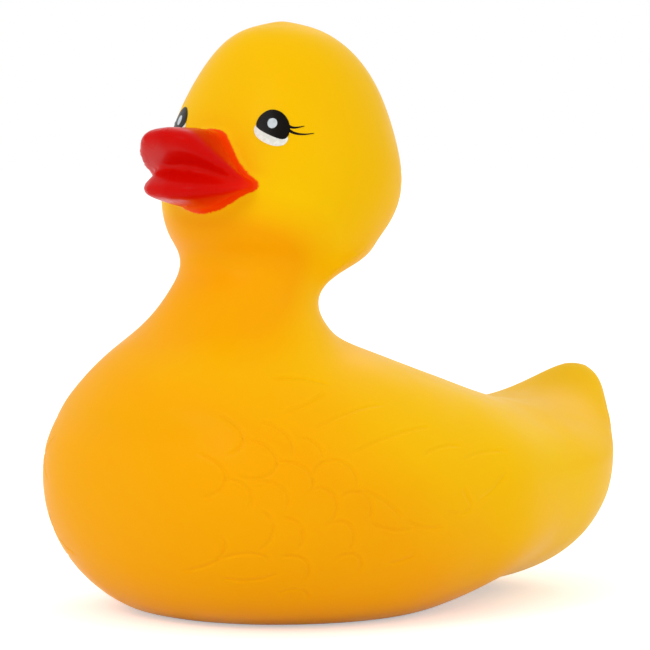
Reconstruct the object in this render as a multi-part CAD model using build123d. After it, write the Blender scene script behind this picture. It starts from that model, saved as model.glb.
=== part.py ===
from build123d import *

"""Duck-shaped floating chlorine dispenser: a hollow vinyl duck with a tablet well in its belly.

Millimetres, +Z up. The duck faces -Y and is symmetric about X = 0. Everything is laid out round
the well's axis (X = 0, Y = 0) with the duck standing on Z = 0, and is then moved along Y so that
the origin is the bottom centre of the whole duck's box.
"""

from math import copysign, cos, pi, radians, sin, sqrt, tan
from typing import NamedTuple
import os

# ---------------------------------------------------------------- driving dimensions
duck_height = 250.0
duck_length = 276.0
duck_width = 190.0
skin = 2.2  # vinyl wall of the duck
section_points = 28  # points on each lofted section
ellipse = 2.0  # how full a plain ellipse is

tablet_radius = 38.0
tablet_height = 25.0
tablet_chamfer = 2.0
tablets_loaded = 2
tablets_held = 3

well_wall = 2.0
tablet_play = 2.0  # tablet to the chamber's wall
mouth_step = 3.5  # how much wider the well is where the cap screws in
mouth_height = 11.5
chamber_headroom = 2.0
well_round = 4.0
fit_gap = 0.5  # between the well and what it passes through

ground_clearance = 3.0
grip_height = 5.0
shutter_plate = 2.0
running_gap = 0.3
cap_plate = 3.0
seal_thickness = 1.2
flange_thickness = 3.0
gasket_thickness = 1.5
clamp_height = 7.0
ballast_height = 9.0
ballast_overhang = 4.0  # beyond the flange
ballast_chamfer = 1.0
flange_room = 1.5  # flange to the pocket's wall

screw_count = 6
screw_land = 4.0  # from the screws' circle to the flange's rim, and to the belly's opening
screw_radius = 1.5
screw_head_radius = 2.8
screw_head_height = 2.0
screw_clearance = 0.2  # a screw's hole, beyond its shank
pilot_clearance = 0.05  # the hole that its thread is cut into
screw_tip_gap = 1.2
recess_arm = 1.2  # length of a screw head's cross, over the head's radius
recess_share = 0.25  # its width, over the same
ballast_screw_count = 3
ballast_screw_radius = 2.0
ballast_screw_head = 3.6

thread_height = 1.5  # how far each thread lug stands out
thread_play = 0.4  # lug's crest to the wall it faces
thread_width = 1.8  # along the axis, at the lug's foot
thread_lead = 12.0
thread_starts = 3
thread_root = 0.3  # how far a lug's foot is sunk in its wall
thread_flank = 15.0  # degrees
thread_first = 2.6  # the well's lugs, above the mouth's lower edge
lug_sweep = 46.0  # degrees of turn that each lug covers
spigot_wall = 2.0
spigot_height = 8.5

seal_land = 2.5  # cap's rim, beyond the mouth
seal_relief = 0.3  # seal's bore, beyond the mouth
rib_height = 1.5  # the tablets stand on ribs
rib_width = 2.0
slot_count = 8
slot_width = 3.8
slot_inner = 13.0
slot_outer = 34.0
shutter_rim = 2.5  # beyond the slots
shutter_turn = 180 / slot_count  # from open to shut
grip_set_back = 8.5  # bar's end, inside the shutter's rim
grip_width = 9.0
grip_flat = 0.2  # straight stretch left at the bar's round ends
finger_lugs = 6
finger_set_back = 0.6  # inside the cap's rim
finger_reach = 7.0  # along the radius
finger_width = 13.0
finger_round = 2.5
finger_lift = 1.0  # above the bar's underside
stop_set_back = 1.9  # inside the shutter's rim
stop_size = 3.0
stop_turn = 10.0  # degrees from the first slot
stop_play = 0.5  # at each end of the notch in degrees, and at its floor in mm

pivot_radius = 3.0
pivot_running = 0.05
pivot_head_radius = 6.0
pivot_head_height = 1.6
pivot_head_room = 0.8
pivot_set_down = 0.3  # its formed head, under the ribs' tops
pivot_formed_radius = 5.0
washer_thickness = 0.6
washer_radius = 5.5
washer_clearance = 0.2

tether_thickness = 4.0
tether_set_back = 0.4  # inside the flange's rim
tether_clear = 1.6  # outside the cap's rim
tether_lift = 1.5  # above the bar's underside
tether_edge = 4.0  # hole's middle to the lug's lower edge
tether_hole_radius = 2.0
tether_round = 2.0
tether_foot_length = 16.0
tether_foot_height = 1.5

head_turn = 6.0  # degrees that the duck looks to its left
eye_turn = 31.0  # degrees from straight ahead
eye_stand_off = 20.0  # the outlines are drawn this far out and projected back
eye_white_half = 7.4
eye_white_drop = -0.8
pupil_half = 7.0
pupil_flat = 0.9  # its height over its width
pupil_lift = 1.0
pupil_aside = 0.7
glint_radius = 1.8
glint_aside = 0.4
glint_lift = 1.6
lash_gap = 0.3  # from the pupil
lash_start = pupil_aside + pupil_half + lash_gap
lash_foot = 0.9
LASHES = [(0.8, 6.5, 0.9), (-1.2, 10.5, -2.2)]  # height of its foot, length, height of its tip
paint = 0.45  # thickness of the eyes' printed layers

past = 1.0  # how far a cutter runs past the face it cuts
sunk = 0.5  # how far a feature is sunk in the piece that it grows from
beyond = 600.0  # a cutter's size where it has to clear the whole duck

# ---------------------------------------------------------------- what follows from them
chamber_radius = tablet_radius + tablet_play
mouth_radius = chamber_radius + mouth_step
mouth_outer = mouth_radius + well_wall
belly_opening = mouth_outer + fit_gap
screw_circle = belly_opening + screw_land
flange_radius = screw_circle + screw_land
recess_radius = flange_radius + flange_room
ballast_outer = flange_radius + ballast_overhang
cap_radius = mouth_radius + seal_land
spigot_outer = mouth_radius - thread_height - thread_play
shutter_radius = slot_outer + shutter_rim
stop_radius = shutter_radius - stop_set_back
slot_middle = (slot_inner + slot_outer) / 2
slot_length = slot_outer - slot_inner

shutter_bottom = ground_clearance + grip_height
cap_bottom = shutter_bottom + shutter_plate + running_gap
cap_top = cap_bottom + cap_plate
flange_bottom = cap_top + seal_thickness
gasket_bottom = flange_bottom + flange_thickness
recess_depth = gasket_bottom + gasket_thickness
clamp_bottom = recess_depth + skin
ballast_bottom = clamp_bottom + clamp_height
mouth_top = flange_bottom + mouth_height
tablet_bottom = cap_top + rib_height
chamber_top = tablet_bottom + tablets_held * tablet_height + chamber_headroom

tether_inner = cap_radius + tether_clear
tether_outer = flange_radius - tether_set_back
tether_y = (tether_inner + tether_outer) / 2
tether_bottom = ground_clearance + tether_lift
tether_hole_z = tether_bottom + tether_edge
STANDING = (Align.CENTER, Align.CENTER, Align.MIN)
HANGING = (Align.CENTER, Align.CENTER, Align.MAX)


# ---------------------------------------------------------------- the duck's lines
class BodyLine(NamedTuple):
    """An upright section across the body: its heights, half width and how full its halves are."""

    y: float
    low: float
    wide: float
    high: float
    half: float
    full_low: float
    full_high: float


class HeadLine(NamedTuple):
    """A level section through the neck or head, with its reach to the front and to the back."""

    z: float
    middle: float
    front: float
    back: float
    half: float
    full: float


tall = duck_height / 250  # the lines are drawn for a duck of 250 by 276 by 190, and sized to this one
long = duck_length / 276
wide = duck_width / 190

BODY_LINES = [
    BodyLine(-100, 54, 60, 66, 10, 2.0, 2.0),
    BodyLine(-97, 38, 59, 82, 34, 2.0, 2.0),
    BodyLine(-88, 18, 58, 98, 56, 2.1, 2.0),
    BodyLine(-71, 3, 57, 112, 76, 2.2, 2.0),
    BodyLine(-43, -6, 56, 120, 90, 2.4, 2.0),
    BodyLine(-8, -8, 55, 120, 95, 2.7, 2.0),
    BodyLine(32, -6, 54, 109, 94, 2.5, 2.1),
    BodyLine(75, 3, 54, 94, 86, 2.4, 2.1),
    BodyLine(112, 4, 56, 84, 74, 2.1, 2.0),
    BodyLine(142, 16, 60, 81, 57, 2.1, 2.0),
    BodyLine(161, 39, 70, 88, 35, 2.0, 2.0),
    BodyLine(171, 60, 80, 94, 20, 2.0, 2.0),
    BodyLine(176, 75, 84, 92, 8, 2.0, 2.0),
]
HEAD_LINES = [
    HeadLine(80, -36, 61, 54, 74, 2.0),
    HeadLine(90, -36, 62, 55, 74, 2.0),
    HeadLine(100, -35, 57, 50, 64, 2.0),
    HeadLine(110, -33, 50, 47, 54, 2.0),
    HeadLine(120, -29, 42, 38, 43, 2.0),
    HeadLine(130, -26, 36, 29, 35, 2.0),
    HeadLine(140, -21, 33, 32, 33, 2.0),
    HeadLine(155, -10, 38, 47, 42, 2.1),
    HeadLine(174, -4, 49, 53, 49, 2.2),
    HeadLine(196, -3, 45, 50, 49, 2.2),
    HeadLine(216, -3, 38, 45, 42, 2.2),
    HeadLine(232, -3, 30, 36, 33, 2.1),
    HeadLine(243, -3, 22, 23, 22, 2.0),
    HeadLine(249, -3, 7, 7, 7, 2.0),
    HeadLine(250, -3, 2, 2, 2, 2.0),
]


class BillLine(NamedTuple):
    """A section of the bill at an angle above level, with its reach and half width."""

    lift: float
    reach: float
    half: float


BILL_LINES = [
    BillLine(72, 20, 10),
    BillLine(56, 26, 13),
    BillLine(45, 33, 16),
    BillLine(35, 42, 19),
    BillLine(26, 52, 23),
    BillLine(19, 48, 25),
    BillLine(13, 42, 24),
    BillLine(7, 39, 23),
    BillLine(1, 42, 23),
    BillLine(-5, 45, 24),
    BillLine(-13, 40, 23),
    BillLine(-22, 33, 20),
    BillLine(-34, 26, 15),
    BillLine(-46, 21, 11),
]
smallest_section = 1.5  # an inset section thinner than this is left out
steepest = 1.8

bill_hinge_y = -30.0 * long  # the bill's sections fan out about this line, inside the head
bill_hinge_z = 184.0 * tall
bill_widest = 0.55  # share of its reach at which each section is widest
bill_back = 5.0  # where the sections start, out from that line
bill_fullness = 2.4
head_axis = -3.0 * long  # y of the upright line that the head turns about
bulge_height = 180.0 * tall  # above it the head narrows to its crown
twist_low = 115.0 * tall
twist_high = 170.0 * tall
eye_side = 26.0 * wide
eye_front = -38.0 * long
eye_height = 205.5 * tall


def sized_body():
    """The body's lines at this duck's size."""
    return [
        BodyLine(
            line.y * long,
            line.low * tall,
            line.wide * tall,
            line.high * tall,
            line.half * wide,
            line.full_low,
            line.full_high,
        )
        for line in BODY_LINES
    ]


def sized_head():
    """The neck and head's lines at this duck's size."""
    return [
        HeadLine(
            line.z * tall,
            line.middle * long,
            line.front * long,
            line.back * long,
            line.half * wide,
            line.full,
        )
        for line in HEAD_LINES
    ]


def bowed(value, full):
    """A superellipse's coordinate for a circle's: full is 2 on an ellipse and more on a boxier one."""
    return copysign(abs(value) ** (2 / full), value)


def around(count):
    """The angles of count points round a closed section."""
    return [2 * pi * step / count for step in range(count)]


def body_section(line, walls, y):
    """A section of the body at y, drawn in by its walls' thicknesses below, above and beside."""
    points = []
    for angle in around(section_points):
        upper = cos(angle) > 0
        full = line.full_high if upper else line.full_low
        reach = line.high - line.wide - walls[1] if upper else line.wide - line.low - walls[0]
        x = (line.half - walls[2]) * bowed(sin(angle), full)
        points.append((x, y, line.wide + reach * bowed(cos(angle), full)))
    return closed_curve(points)


def head_section(line, wall, z):
    """A section of the head at z, drawn in by its wall's thickness."""
    points = []
    for angle in around(section_points):
        behind = cos(angle) > 0
        reach = (line.back if behind else line.front) - wall
        full = ellipse if behind else line.full
        x = (line.half - wall) * bowed(sin(angle), full)
        y = line.middle - head_axis + reach * bowed(cos(angle), full)
        points.append(Vector(0, head_axis, z) + Vector(x, y, 0).rotate(Axis.Z, neck_twist(z)))
    return closed_curve(points)


def neck_twist(z):
    """How far the head is turned at a height: nothing on the shoulders, head_turn above the neck."""
    share = min(max((z - twist_low) / (twist_high - twist_low), 0), 1)
    return head_turn * share * share * (3 - 2 * share)


def closed_curve(points):
    """A smooth closed wire, with the same parameters on every section so that lofts stay light."""
    edge = Edge.make_spline(points, periodic=True, parameters=list(range(len(points) + 1)))
    return Wire([edge])


def body_form(inset=0.0):
    """The body's solid form, drawn in by inset on every side."""
    lines = sized_body()
    first, last = lines[0].y, lines[-1].y
    middle, half_length = (first + last) / 2, (last - first) / 2
    sections = []
    for number, line in enumerate(lines):
        walls = [
            inset * slant(lines, number, lambda at: at.y, side)
            for side in (lambda at: at.low, lambda at: at.high, lambda at: at.half)
        ]
        room = (line.wide - line.low, line.high - line.wide, line.half)
        if min(reach - wall for reach, wall in zip(room, walls)) > smallest_section:
            y = middle + (line.y - middle) * (half_length - inset) / half_length
            sections.append(body_section(line, walls, y))
    return Solid.make_loft(sections)


def head_form(inset=0.0):
    """The neck and head's solid form, drawn in by inset, or grown where inset is negative."""
    lines = sized_head()
    crown = lines[-1].z
    sections = []
    for number, line in enumerate(lines):
        wall = inset
        z = line.z
        if z > bulge_height:
            z = bulge_height + (z - bulge_height) * (crown - inset - bulge_height) / (crown - bulge_height)
        elif inset > 0:
            wall = inset * max(
                slant(lines, number, lambda at: at.z, side)
                for side in (
                    lambda at: at.middle - at.front,
                    lambda at: at.middle + at.back,
                    lambda at: at.half,
                )
            )
        if min(line.front, line.back, line.half) - wall > smallest_section:
            sections.append(head_section(line, wall, z))
    return Solid.make_loft(sections)


def slant(lines, number, along, across):
    """How much longer a wall is across a slanting side than square to its face, up to steepest."""
    before, after = lines[max(number - 1, 0)], lines[min(number + 1, len(lines) - 1)]
    slope = (across(after) - across(before)) / (along(after) - along(before))
    return min(sqrt(1 + slope**2), steepest)


# ---------------------------------------------------------------- small helpers
def disc(radius, bottom, top, at=(0, 0)):
    return Pos(at[0], at[1], bottom) * Cylinder(radius, top - bottom, align=STANDING)


def ring(outer, inner, bottom, top, at=(0, 0)):
    return disc(outer, bottom, top, at) - disc(inner, bottom - past, top + past, at)


def on_circle(count, radius, first=0.0):
    """The (x, y) places of count things on a circle, the first at the angle given in degrees."""
    turns = [radians(first + 360 * step / count) for step in range(count)]
    return [(radius * cos(turn), radius * sin(turn)) for turn in turns]


def spokes(count, first=0.0):
    """Turns about Z that repeat a thing drawn along +X."""
    return [Rot(0, 0, first + 360 * step / count) for step in range(count)]


def joined(shapes):
    """One shape from touching ones, or a group of separate solids."""
    shapes = list(shapes)
    return shapes[0].fuse(*shapes[1:]) if len(shapes) > 1 else shapes[0]


def thread_lug(foot_radius, outward, bottom, turn):
    """A short stretch of trapezoid thread, standing out of a wall of foot_radius, or into it."""
    rise = thread_lead * lug_sweep / 360
    path = Edge.make_helix(thread_lead, rise, foot_radius)
    tip = thread_height if outward else -thread_height
    root = -thread_root if outward else thread_root
    tip_width = thread_width - 2 * thread_height * tan(radians(thread_flank))
    start = path @ 0
    profile = Polyline(
        start + Vector(root, 0, -thread_width / 2),
        start + Vector(tip, 0, -tip_width / 2),
        start + Vector(tip, 0, tip_width / 2),
        start + Vector(root, 0, thread_width / 2),
        close=True,
    )
    lug = sweep(make_face(profile), path=path, is_frenet=True)
    return Pos(0, 0, bottom) * Rot(0, 0, turn) * lug


# ---------------------------------------------------------------- the duck
def belly_cut():
    """The pocket in the belly, the well's hole in its roof, and the screws' holes."""
    cut = disc(recess_radius, -past, recess_depth)
    cut += disc(belly_opening, recess_depth - past, clamp_bottom + past)
    for place in flange_screw_places():
        cut += disc(screw_radius + screw_clearance, recess_depth - past, clamp_bottom + past, place)
    return cut


def flange_screw_places():
    return on_circle(screw_count, screw_circle)


def duck_shell():
    outer = body_form() + head_form()
    outer -= below(0)
    cavity = body_form(skin) + head_form(skin)
    cavity -= below(skin)
    cavity -= disc(recess_radius + skin, -past, clamp_bottom)
    return outer - cavity - belly_cut()


def below(height):
    """Everything lower than a height, large enough to trim the whole duck."""
    return Pos(0, 0, height) * Box(beyond, beyond, beyond, align=HANGING)


def bill_form():
    """Upper and lower lips with the mouth's groove between, as sections that fan out of the face."""
    sections = []
    for line in BILL_LINES:
        lift = radians(line.lift)
        points = []
        reach = line.reach * long
        widest = reach * bill_widest
        for angle in around(section_points):
            ahead = cos(angle) > 0
            length = reach - widest if ahead else widest - bill_back
            full = bill_fullness if ahead else ellipse
            out = widest + length * bowed(cos(angle), full)
            x = line.half * wide * bowed(sin(angle), full)
            points.append((x, bill_hinge_y - out * cos(lift), bill_hinge_z + out * sin(lift)))
        sections.append(closed_curve(points))
    return Solid.make_loft(sections)


def on_head():
    """Takes a thing drawn on a head that looks straight along -Y to the turned head."""
    return Pos(0, head_axis, 0) * Rot(0, 0, head_turn) * Pos(0, -head_axis, 0)


def bill():
    return on_head() * bill_form() - head_form()


# ---------------------------------------------------------------- eyes
def eye_plane():
    """A plane in front of the left eye, square on to it, with its X axis towards the back."""
    turn = radians(eye_turn)
    normal = Vector(sin(turn), -cos(turn), 0)
    return Plane(
        origin=Vector(eye_side, eye_front, eye_height) + normal * eye_stand_off,
        x_dir=(cos(turn), sin(turn), 0),
        z_dir=normal,
    )


def eye_outlines():
    """The left eye's printed shapes, as seen square on."""
    white = Pos(0, eye_white_drop) * Circle(eye_white_half)
    pupil = Pos(pupil_aside, pupil_lift) * Ellipse(pupil_half, pupil_half * pupil_flat)
    glint = Pos(glint_aside, pupil_lift + glint_lift) * Circle(glint_radius)
    lashes = [
        Polygon((lash_start, foot), (lash_start, foot - lash_foot), (lash_start + length, tip), align=None)
        for foot, length, tip in LASHES
    ]
    return {
        "eye_white": [white - pupil],
        "eye_pupil": [pupil - glint],
        "eye_glint": [glint],
        "eyelashes": lashes,
    }


def eyes():
    """Each printed shape is the part of a thin layer on the head that lies behind its outline."""
    layer = head_form(-paint) - head_form()
    made = {}
    for name, outlines in eye_outlines().items():
        for side in ("left", "right"):
            prints = []
            for outline in outlines:
                prism = eye_plane() * extrude(outline, amount=-2 * eye_stand_off, dir=(0, 0, 1))
                if side == "right":
                    prism = mirror(prism, about=Plane.YZ)
                prints.append(layer & (on_head() * prism))
            made[f"{name}_{side}"] = Compound(prints) if len(prints) > 1 else prints[0]
    return made


# ---------------------------------------------------------------- the well and its clamp
def tablet_well():
    body = disc(flange_radius, flange_bottom, gasket_bottom)
    body += disc(mouth_outer, flange_bottom, mouth_top + well_wall)
    body += disc(chamber_radius + well_wall, mouth_top, chamber_top + well_wall)
    body = fillet(body.edges().group_by(Axis.Z)[-1], well_round)
    body -= disc(mouth_radius, flange_bottom - past, mouth_top)
    body -= disc(chamber_radius, mouth_top - past, chamber_top)
    for place in flange_screw_places():
        body -= disc(screw_radius + screw_clearance, flange_bottom - past, gasket_bottom + past, place)
    for start in range(thread_starts):
        turn = start * 360 / thread_starts
        body += thread_lug(mouth_radius, False, flange_bottom + thread_first, turn)
    return body


def tether_eye():
    """A tab bonded under the flange's rear edge, with a hole along X for a mooring cord."""
    deep = tether_outer - tether_inner
    lug = Box(tether_thickness, deep, flange_bottom - tether_bottom, align=STANDING)
    lug = fillet(lug.edges().filter_by(Axis.X).group_by(Axis.Z)[0], tether_round)
    foot = Box(tether_foot_length, deep, tether_foot_height, align=HANGING)
    eye = Pos(0, tether_y, tether_bottom) * lug + Pos(0, tether_y, flange_bottom) * foot
    hole = Pos(0, tether_y, tether_hole_z) * Rot(0, 90, 0)
    return eye - hole * Cylinder(tether_hole_radius, 2 * tether_thickness)


def flange_gasket():
    gasket = ring(flange_radius, belly_opening, gasket_bottom, recess_depth)
    for place in flange_screw_places():
        gasket -= disc(screw_radius + screw_clearance, gasket_bottom - past, recess_depth + past, place)
    return gasket


def clamp_ring():
    clamp = ring(flange_radius, belly_opening, clamp_bottom, ballast_bottom)
    for place in flange_screw_places():
        clamp -= disc(screw_radius + pilot_clearance, clamp_bottom - past, ballast_bottom + past, place)
    for place in ballast_screw_places():
        hole = ballast_screw_radius + pilot_clearance
        clamp -= disc(hole, clamp_bottom - past, ballast_bottom + past, place)
    return clamp


def ballast_screw_places():
    return on_circle(ballast_screw_count, screw_circle, 180 / screw_count)


def ballast_ring():
    top = ballast_bottom + ballast_height
    ballast = ring(ballast_outer, belly_opening, ballast_bottom, top)
    ballast = chamfer(ballast.edges().group_by(Axis.Z)[-1], ballast_chamfer)
    for place in ballast_screw_places():
        hole = ballast_screw_radius + screw_clearance
        ballast -= disc(hole, ballast_bottom - past, top + past, place)
    return ballast


def screw(place, seat, tip, radius, head_radius, head_height):
    """A cross-recessed pan-head screw from its head's seat to its tip, pointing up or down."""
    up = 1 if tip > seat else -1
    head_end = seat - up * head_height
    body = disc(radius, min(seat, tip), max(seat, tip), place)
    body += disc(head_radius, min(seat, head_end), max(seat, head_end), place)
    middle = Pos(place[0], place[1], head_end)
    arm = head_radius * recess_arm
    narrow = head_radius * recess_share
    return body - middle * Box(arm, narrow, head_height) - middle * Box(narrow, arm, head_height)


def flange_screws():
    tip = ballast_bottom - screw_tip_gap
    return Compound([
        screw(place, flange_bottom, tip, screw_radius, screw_head_radius, screw_head_height)
        for place in flange_screw_places()
    ])


def ballast_screws():
    seat, tip = ballast_bottom + ballast_height, clamp_bottom + screw_tip_gap
    return Compound([
        screw(place, seat, tip, ballast_screw_radius, ballast_screw_head, screw_head_height)
        for place in ballast_screw_places()
    ])


# ---------------------------------------------------------------- the cap and its shutter
def slots(bottom, top):
    """Radial water slots with round ends."""
    flat = Pos(slot_middle, 0) * SlotOverall(slot_length, slot_width)
    one = Pos(0, 0, bottom) * extrude(flat, amount=top - bottom)
    return joined(turn * one for turn in spokes(slot_count))


def screw_cap():
    cap = disc(cap_radius, cap_bottom, cap_top)
    cap += ring(spigot_outer, spigot_outer - spigot_wall, cap_top - sunk, cap_top + spigot_height)
    rib = Box(slot_length, rib_width, rib_height + sunk, align=STANDING)
    for turn in spokes(slot_count, 180 / slot_count):
        cap += turn * Pos(slot_middle, 0, cap_top - sunk) * rib
    for turn in spokes(finger_lugs):
        cap += turn * finger_lug()
    stop = Box(stop_size, stop_size, cap_bottom - shutter_bottom + sunk, align=STANDING)
    cap += Rot(0, 0, stop_turn) * Pos(stop_radius, 0, shutter_bottom) * stop
    cap -= slots(cap_bottom - past, cap_top + past)
    cap -= disc(pivot_radius + pilot_clearance, cap_bottom - past, cap_top + past)
    for start in range(thread_starts):
        turn = start * 360 / thread_starts
        bottom = flange_bottom + thread_first + thread_lead / thread_starts / 2
        cap += thread_lug(spigot_outer, True, bottom, turn)
    return cap


def finger_lug():
    """One of the lugs under the cap's rim that fingers push on to turn it."""
    outer = cap_radius - finger_set_back
    bottom = ground_clearance + finger_lift
    lug = Box(finger_reach, finger_width, cap_bottom + sunk - bottom, align=STANDING)
    lug = fillet(lug.edges().filter_by(Axis.Z), finger_round)
    return Pos(outer - finger_reach / 2, 0, bottom) * lug


def cap_seal():
    return ring(cap_radius, mouth_radius + seal_relief, cap_top, flange_bottom)


def stop_notch():
    """The rim notch that the cap's stop runs in. It is as long as the shutter's turn."""
    half_stop = stop_size / 2 / stop_radius * 180 / pi + stop_play
    inner = stop_radius - stop_size / 2 - stop_play
    swept = radians(shutter_turn + 2 * half_stop)
    far = 2 * shutter_radius
    wedge = Polygon((0, 0), (far, 0), (far * cos(swept), far * sin(swept)), align=None)
    notch = extrude(Rot(0, 0, stop_turn - half_stop) * wedge, amount=shutter_plate + 2 * past)
    notch -= disc(inner, -past, shutter_plate + 3 * past)
    return Pos(0, 0, shutter_bottom - past) * notch


def flow_shutter():
    top = shutter_bottom + shutter_plate
    plate = disc(shutter_radius, shutter_bottom, top)
    length = 2 * (shutter_radius - grip_set_back)
    bar = Box(length, grip_width, grip_height + sunk, align=STANDING)
    bar = fillet(bar.edges().filter_by(Axis.Z), (grip_width - grip_flat) / 2)
    plate += Rot(0, 0, shutter_turn) * Pos(0, 0, ground_clearance) * bar
    plate -= slots(shutter_bottom - past, top + past)
    plate -= disc(pivot_head_radius + pivot_head_room, ground_clearance - past, shutter_bottom)
    plate -= disc(pivot_radius + pivot_running, shutter_bottom - past, top + past)
    return plate - stop_notch()


def shutter_pivot():
    """A rivet through the shutter and the cap, with a formed head above the cap."""
    under = shutter_bottom - washer_thickness
    top = tablet_bottom - pivot_set_down
    rivet = disc(pivot_head_radius, under - pivot_head_height, under)
    rivet += disc(pivot_radius, under - sunk, top)
    rivet += disc(pivot_formed_radius, cap_top, top)
    return rivet


def pivot_washer():
    inner = pivot_radius + washer_clearance
    return ring(washer_radius, inner, shutter_bottom - washer_thickness, shutter_bottom)


def tablet(number):
    bottom = tablet_bottom + number * tablet_height
    block = disc(tablet_radius, bottom, bottom + tablet_height)
    return chamfer(block.edges(), tablet_chamfer)


# ---------------------------------------------------------------- the assembly
def pieces():
    made = {
        "duck_shell": duck_shell(),
        "bill": bill(),
        **eyes(),
        "tablet_well": tablet_well(),
        "tether_eye": tether_eye(),
        "flange_gasket": flange_gasket(),
        "clamp_ring": clamp_ring(),
        "flange_screws": flange_screws(),
        "ballast_ring": ballast_ring(),
        "ballast_screws": ballast_screws(),
        "screw_cap": screw_cap(),
        "cap_seal": cap_seal(),
        "flow_shutter": flow_shutter(),
        "shutter_pivot": shutter_pivot(),
        "pivot_washer": pivot_washer(),
    }
    for number in range(tablets_loaded):
        made[f"tablet_{number + 1}"] = tablet(number)
    return made


def main():
    made = pieces()
    box = Compound([made["duck_shell"], made["bill"]]).bounding_box()
    shift = -(box.min.Y + box.max.Y) / 2
    to_origin = Pos(0, shift, 0)
    os.makedirs("parts", exist_ok=True)
    for name, shape in made.items():
        export_step(to_origin * shape, f"parts/{name}.step")
    print("well axis at y", round(shift, 4))
    print("tether hole at", round(tether_y + shift, 4), tether_hole_z)
    print("tablets up to", tablet_bottom + tablets_loaded * tablet_height, "chamber", chamber_top)


main()
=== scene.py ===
"""Looks of the duck-shaped floating dispenser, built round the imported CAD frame.

Metres, +Z up. The duck faces -Y and its left side is +X.
"""

import math

import bmesh
import bpy
import numpy as np
from mathutils import Matrix, Vector
from mathutils.bvhtree import BVHTree
from mathutils.kdtree import KDTree


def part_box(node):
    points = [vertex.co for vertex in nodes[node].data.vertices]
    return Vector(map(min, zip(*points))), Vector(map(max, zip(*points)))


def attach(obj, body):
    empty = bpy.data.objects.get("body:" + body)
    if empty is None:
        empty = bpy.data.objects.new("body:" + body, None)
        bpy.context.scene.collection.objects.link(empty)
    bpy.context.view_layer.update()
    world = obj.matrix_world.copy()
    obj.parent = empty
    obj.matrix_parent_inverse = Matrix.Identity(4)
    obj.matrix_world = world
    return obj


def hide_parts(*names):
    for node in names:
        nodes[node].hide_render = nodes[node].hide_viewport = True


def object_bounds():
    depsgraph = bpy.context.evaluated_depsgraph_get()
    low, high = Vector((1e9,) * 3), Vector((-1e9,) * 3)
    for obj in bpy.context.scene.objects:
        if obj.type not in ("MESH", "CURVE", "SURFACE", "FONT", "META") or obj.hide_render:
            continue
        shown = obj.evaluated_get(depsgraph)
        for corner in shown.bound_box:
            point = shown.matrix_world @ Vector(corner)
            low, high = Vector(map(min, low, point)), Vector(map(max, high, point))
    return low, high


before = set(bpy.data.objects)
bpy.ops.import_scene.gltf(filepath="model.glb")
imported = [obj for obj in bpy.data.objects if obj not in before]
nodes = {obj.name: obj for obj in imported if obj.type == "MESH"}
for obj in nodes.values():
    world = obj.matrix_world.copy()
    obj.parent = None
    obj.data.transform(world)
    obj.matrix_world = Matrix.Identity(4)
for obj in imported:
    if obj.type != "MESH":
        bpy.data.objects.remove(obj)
cad_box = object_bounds()
mm = 0.001

# ---------------------------------------------------------------- places that the CAD gives
well_low, well_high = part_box("tablet_well")
well_axis = (well_low + well_high) / 2
well_axis.z = 0
bill_low, bill_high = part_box("bill")


# ---------------------------------------------------------------- meshes
def new_object(name, mesh):
    made = bpy.data.objects.new(name, mesh)
    bpy.context.scene.collection.objects.link(made)
    return made


def evaluated(source, name):
    """A new mesh of an object with its modifiers applied. The object itself is removed."""
    bpy.context.view_layer.update()
    graph = bpy.context.evaluated_depsgraph_get()
    mesh = bpy.data.meshes.new_from_object(source.evaluated_get(graph))
    mesh.name = name
    bpy.data.objects.remove(source)
    return mesh


def mesh_from(bm, name):
    mesh = bpy.data.meshes.new(name)
    bm.to_mesh(mesh)
    bm.free()
    return mesh


def copy_of(node):
    """A bmesh of a CAD node with its split corners merged."""
    bm = bmesh.new()
    bm.from_mesh(nodes[node].data)
    bmesh.ops.remove_doubles(bm, verts=bm.verts, dist=0.002 * mm)
    return bm


def points_of(mesh):
    co = np.empty(len(mesh.vertices) * 3)
    mesh.vertices.foreach_get("co", co)
    return co.reshape(-1, 3)


def normals_of(mesh):
    out = np.empty(len(mesh.vertices) * 3, np.float32)
    mesh.vertex_normals.foreach_get("vector", out)
    return out.reshape(-1, 3).astype(float)


def edges_of(mesh):
    pairs = np.empty(len(mesh.edges) * 2, np.int64)
    mesh.edges.foreach_get("vertices", pairs)
    return pairs.reshape(-1, 2)


def set_points(mesh, co):
    mesh.vertices.foreach_set("co", co.ravel())
    mesh.update()


def mean_of_neighbours(values, pairs, count):
    """Each point's mean of its neighbours' values, one column at a time."""
    a, b = pairs[:, 0], pairs[:, 1]
    degree = np.bincount(a, minlength=count) + np.bincount(b, minlength=count)
    degree = np.maximum(degree, 1)
    out = np.empty_like(values)
    for column in range(values.shape[1]):
        total = np.bincount(a, values[b, column], count) + np.bincount(b, values[a, column], count)
        out[:, column] = total / degree
    return out


def relaxed(co, pairs, weight, rounds, shrink_free=False):
    """Points drawn towards their neighbours by a weight each. Shrink-free rounds step back again."""
    weight = np.asarray(weight, float).reshape(-1, 1)
    for _ in range(rounds):
        co = co + 0.5 * weight * (mean_of_neighbours(co, pairs, len(co)) - co)
        if shrink_free:
            co = co - 0.52 * weight * (mean_of_neighbours(co, pairs, len(co)) - co)
    return co


def smooth_step(low, high, value):
    share = np.clip((value - low) / (high - low), 0, 1)
    return share * share * (3 - 2 * share)


def smooth_shaded(mesh):
    mesh.polygons.foreach_set("use_smooth", [True] * len(mesh.polygons))
    return mesh


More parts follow.
